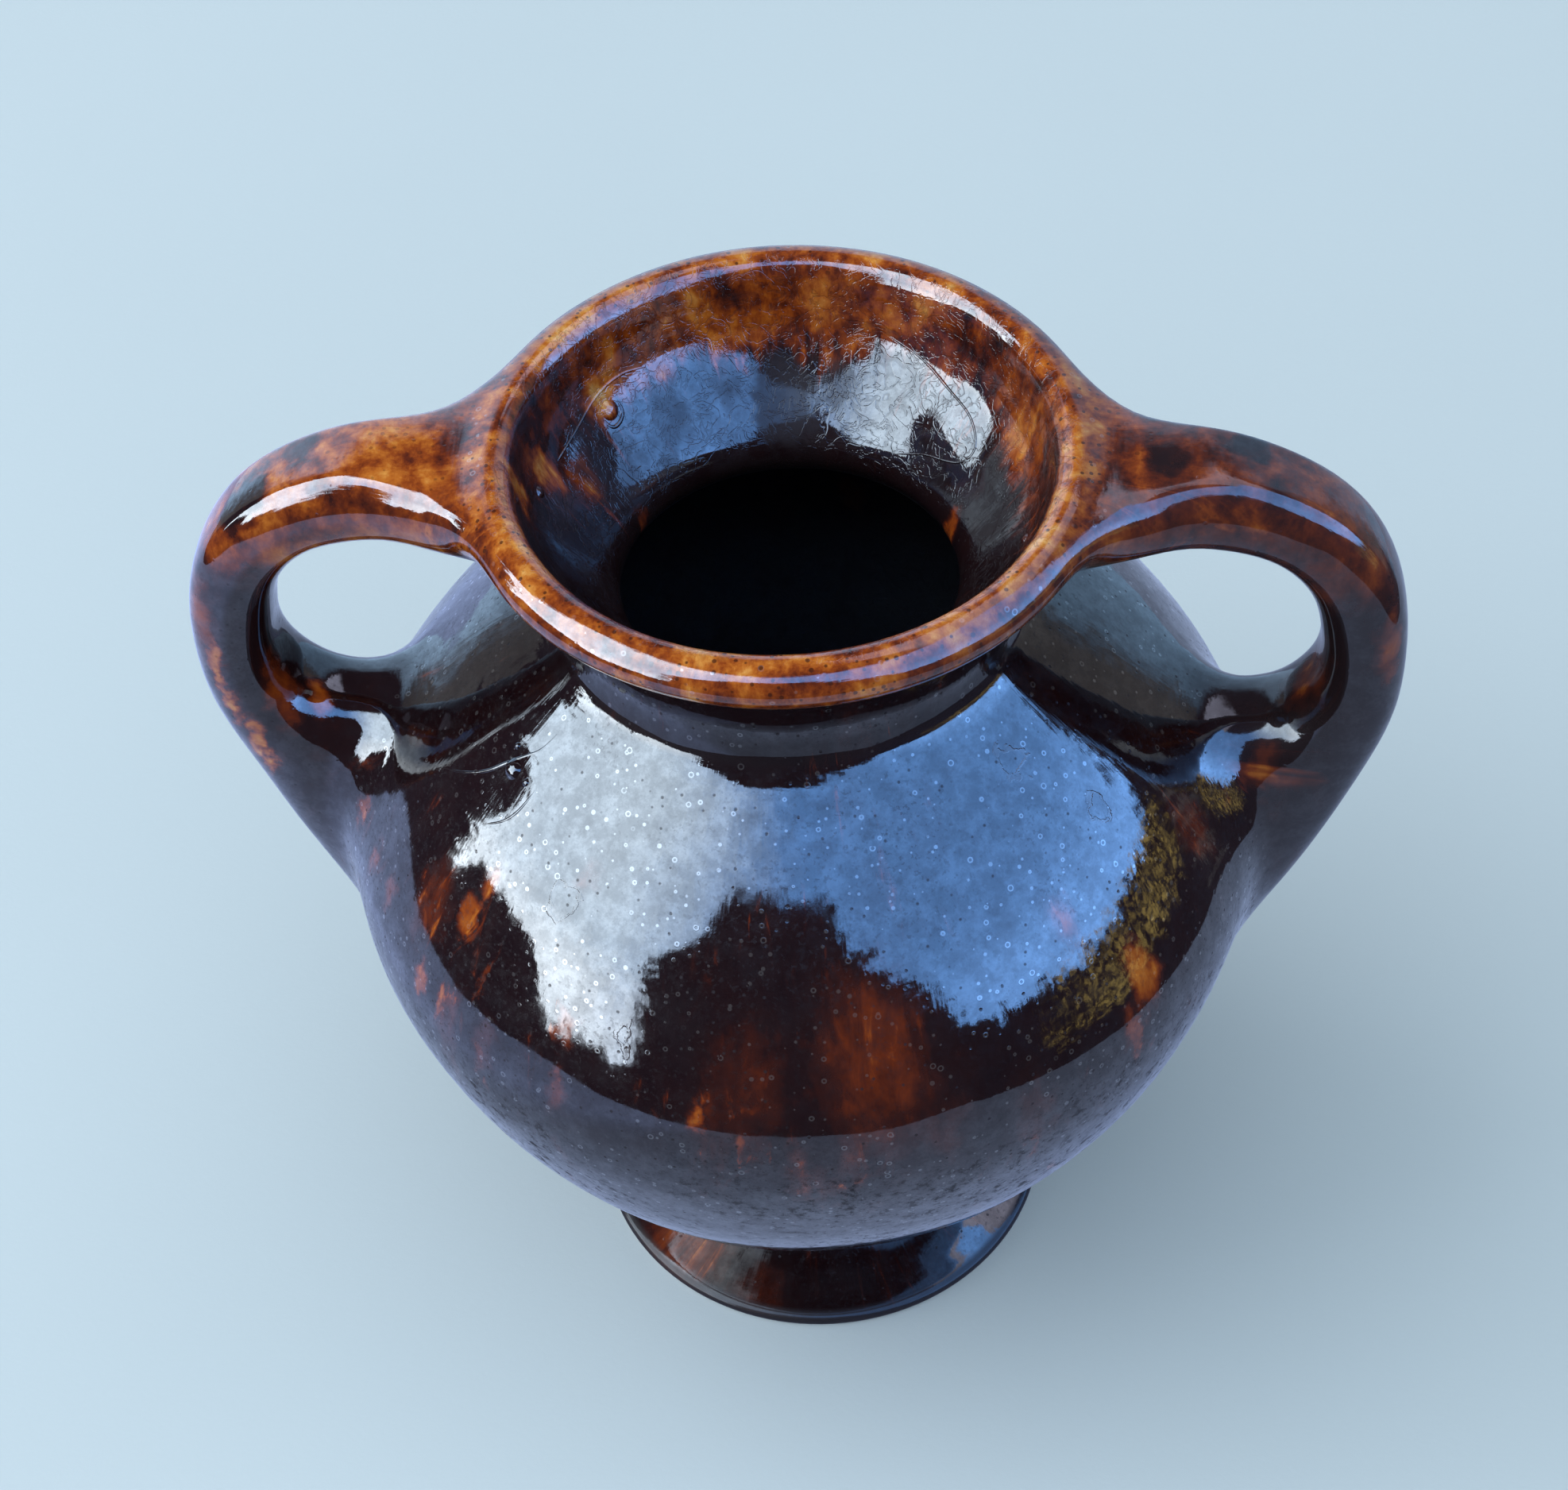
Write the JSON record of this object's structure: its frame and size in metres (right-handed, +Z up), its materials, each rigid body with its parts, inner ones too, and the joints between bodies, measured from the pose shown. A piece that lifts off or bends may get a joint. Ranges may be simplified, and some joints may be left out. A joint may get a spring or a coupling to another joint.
{
  "type": "two-handled vase",
  "caption": "Footed round-bellied ceramic vase with a short neck, a flared round-lipped mouth and an ear handle on each side, from lip to belly.",
  "frame": {"origin": "centre of the foot ring on the surface the vase stands on", "axes": "+Z up along the vase's turning axis, +X towards the right handle, handles in the XZ plane"},
  "size_m": [0.1884, 0.148, 0.1814],
  "materials": {
    "red_brown_glaze": "glossy mottled glaze",
    "deep_brown_glaze": "glossy mottled glaze",
    "dark_brown_glaze": "glossy mottled glaze",
    "amber_mottled_glaze": "glossy mottled glaze",
    "left_handle_glaze": "glossy mottled glaze",
    "right_handle_glaze": "glossy mottled glaze"
  },
  "bodies": {
    "root": {"foot": "red_brown_glaze", "lower_bowl": "deep_brown_glaze", "shoulder": "dark_brown_glaze", "mouth": "amber_mottled_glaze", "left_handle": "left_handle_glaze", "right_handle": "right_handle_glaze"}
  },
  "joints": []
}
